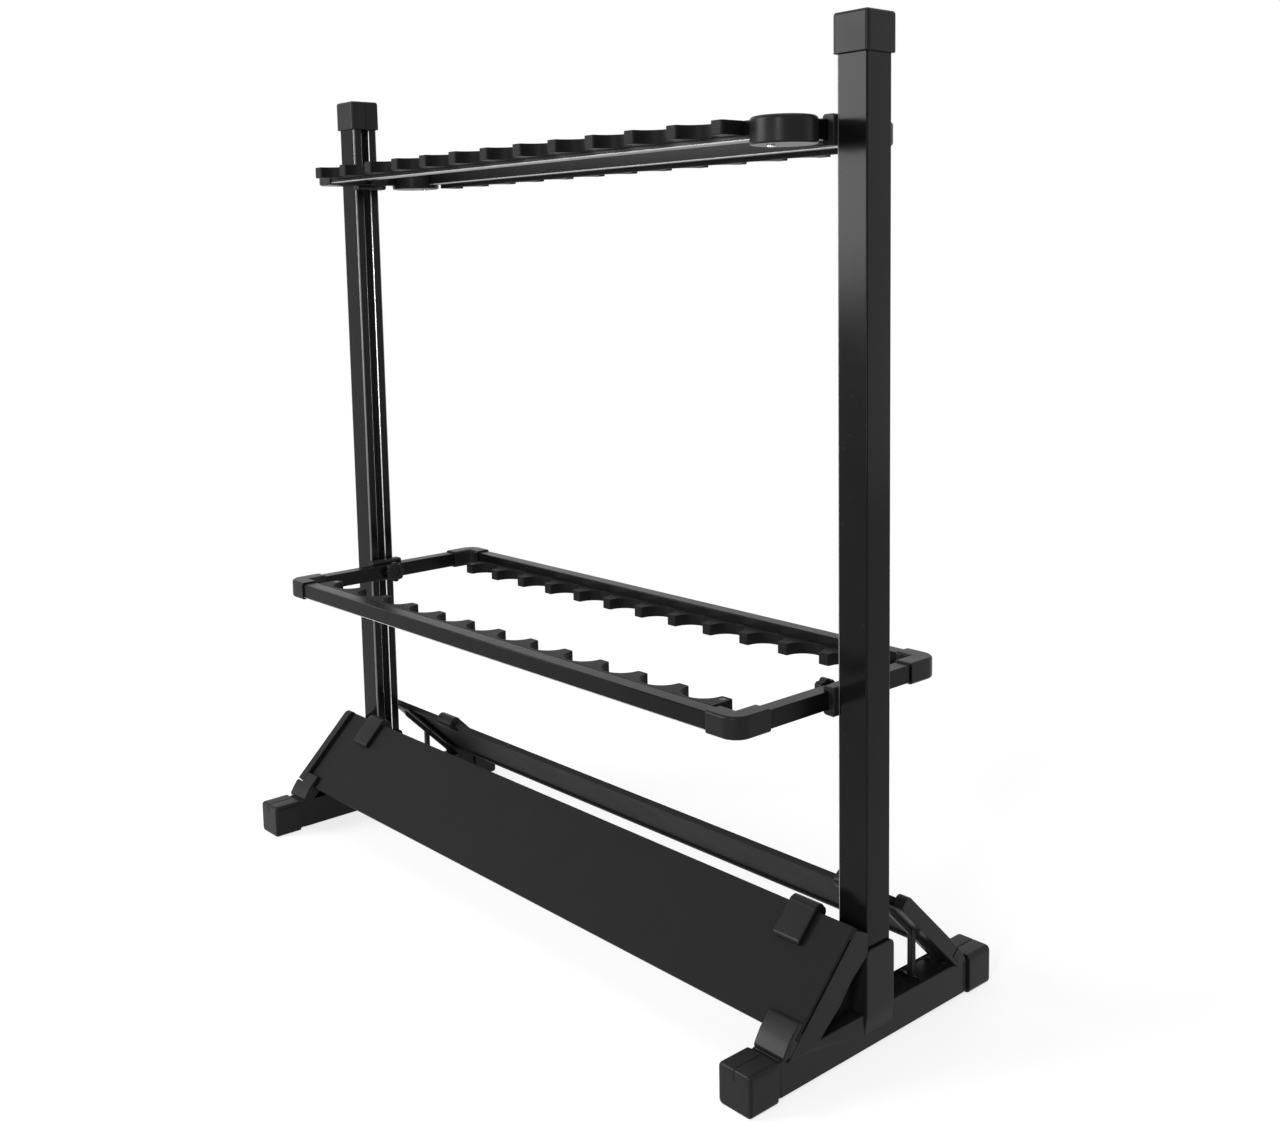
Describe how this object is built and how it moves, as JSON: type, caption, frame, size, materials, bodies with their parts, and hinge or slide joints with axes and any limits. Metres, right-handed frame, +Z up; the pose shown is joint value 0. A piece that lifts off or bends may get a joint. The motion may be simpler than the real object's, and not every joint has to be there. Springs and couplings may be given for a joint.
{
  "type": "rod rack",
  "caption": "Floor-standing fishing rod rack: slotted uprights on A-frame feet, sloping butt panels and notched racks that slide and clamp at the height wanted.",
  "frame": {"origin": "on the floor under the middle of the rack, at the centre of the foot print", "axes": "+X along the rack to the right seen from the front, -Y towards the front, +Z up"},
  "size_m": [0.733, 0.291, 0.784],
  "materials": {
    "coated_post": "black anodised, satin",
    "coated_tube": "black coated, satin",
    "panel_black": "matt black",
    "moulded_black": "fine-grained moulding",
    "strip_black": "matt moulding",
    "knob_black": "matt moulding",
    "zinc_steel": "zinc plated",
    "bright_screw": "bright plated",
    "black_screw": "blackened"
  },
  "bodies": {
    "stand": {"left_upright": "coated_post", "right_upright": "coated_post", "left_upright_cap": "moulded_black", "right_upright_cap": "moulded_black", "left_base_bracket": "moulded_black", "right_base_bracket": "moulded_black", "left_front_foot_cap": "moulded_black", "left_rear_foot_cap": "moulded_black", "right_front_foot_cap": "moulded_black", "right_rear_foot_cap": "moulded_black", "front_panel": "panel_black", "rear_panel": "panel_black", "front_left_top_hook": "moulded_black", "front_right_top_hook": "moulded_black", "rear_left_top_hook": "moulded_black", "rear_right_top_hook": "moulded_black", "front_left_bottom_clip": "moulded_black", "front_right_bottom_clip": "moulded_black", "rear_left_bottom_clip": "moulded_black", "rear_right_bottom_clip": "moulded_black"},
    "lower_rack": {"lower_front_rail": "coated_tube", "lower_rear_rail": "coated_tube", "lower_left_end_tube": "coated_tube", "lower_right_end_tube": "coated_tube", "lower_front_left_elbow": "moulded_black", "lower_front_right_elbow": "moulded_black", "lower_rear_left_elbow": "moulded_black", "lower_rear_right_elbow": "moulded_black", "lower_front_rod_strip": "strip_black", "lower_rear_rod_strip": "strip_black", "lower_strip_screws": "black_screw", "lower_left_saddle": "moulded_black", "lower_right_saddle": "moulded_black", "lower_left_slot_nut": "zinc_steel", "lower_right_slot_nut": "zinc_steel"},
    "upper_rack": {"upper_front_rail": "coated_tube", "upper_rear_rail": "coated_tube", "upper_left_end_tube": "coated_tube", "upper_right_end_tube": "coated_tube", "upper_front_left_elbow": "moulded_black", "upper_rear_right_elbow": "moulded_black", "upper_front_right_holder": "moulded_black", "upper_rear_left_holder": "moulded_black", "upper_front_rod_strip": "strip_black", "upper_rear_rod_strip": "strip_black", "upper_strip_screws": "black_screw", "upper_left_saddle": "moulded_black", "upper_right_saddle": "moulded_black", "upper_left_slot_nut": "zinc_steel", "upper_right_slot_nut": "zinc_steel", "holder_screws": "bright_screw"},
    "lower_left_knob_body": {"lower_left_knob": "knob_black"},
    "lower_right_knob_body": {"lower_right_knob": "knob_black"},
    "upper_left_knob_body": {"upper_left_knob": "knob_black"},
    "upper_right_knob_body": {"upper_right_knob": "knob_black"}
  },
  "joints": [
    {"name": "lower_rack_slide", "type": "slide", "parent": "stand", "child": "lower_rack", "axis": [0, 0, 1], "range_m": [-0.12, 0.2]},
    {"name": "upper_rack_slide", "type": "slide", "parent": "stand", "child": "upper_rack", "axis": [0, 0, 1], "range_m": [-0.15, 0.035]},
    {"name": "lower_left_knob_turn", "type": "hinge", "parent": "lower_rack", "child": "lower_left_knob_body", "pos_m": [-0.3107, 0, 0.27215], "axis": [1, 0, 0], "continuous": true},
    {"name": "lower_right_knob_turn", "type": "hinge", "parent": "lower_rack", "child": "lower_right_knob_body", "pos_m": [0.3107, 0, 0.27215], "axis": [1, 0, 0], "continuous": true},
    {"name": "upper_left_knob_turn", "type": "hinge", "parent": "upper_rack", "child": "upper_left_knob_body", "pos_m": [-0.3107, 0, 0.70165], "axis": [1, 0, 0], "continuous": true},
    {"name": "upper_right_knob_turn", "type": "hinge", "parent": "upper_rack", "child": "upper_right_knob_body", "pos_m": [0.3107, 0, 0.70165], "axis": [1, 0, 0], "continuous": true}
  ]
}
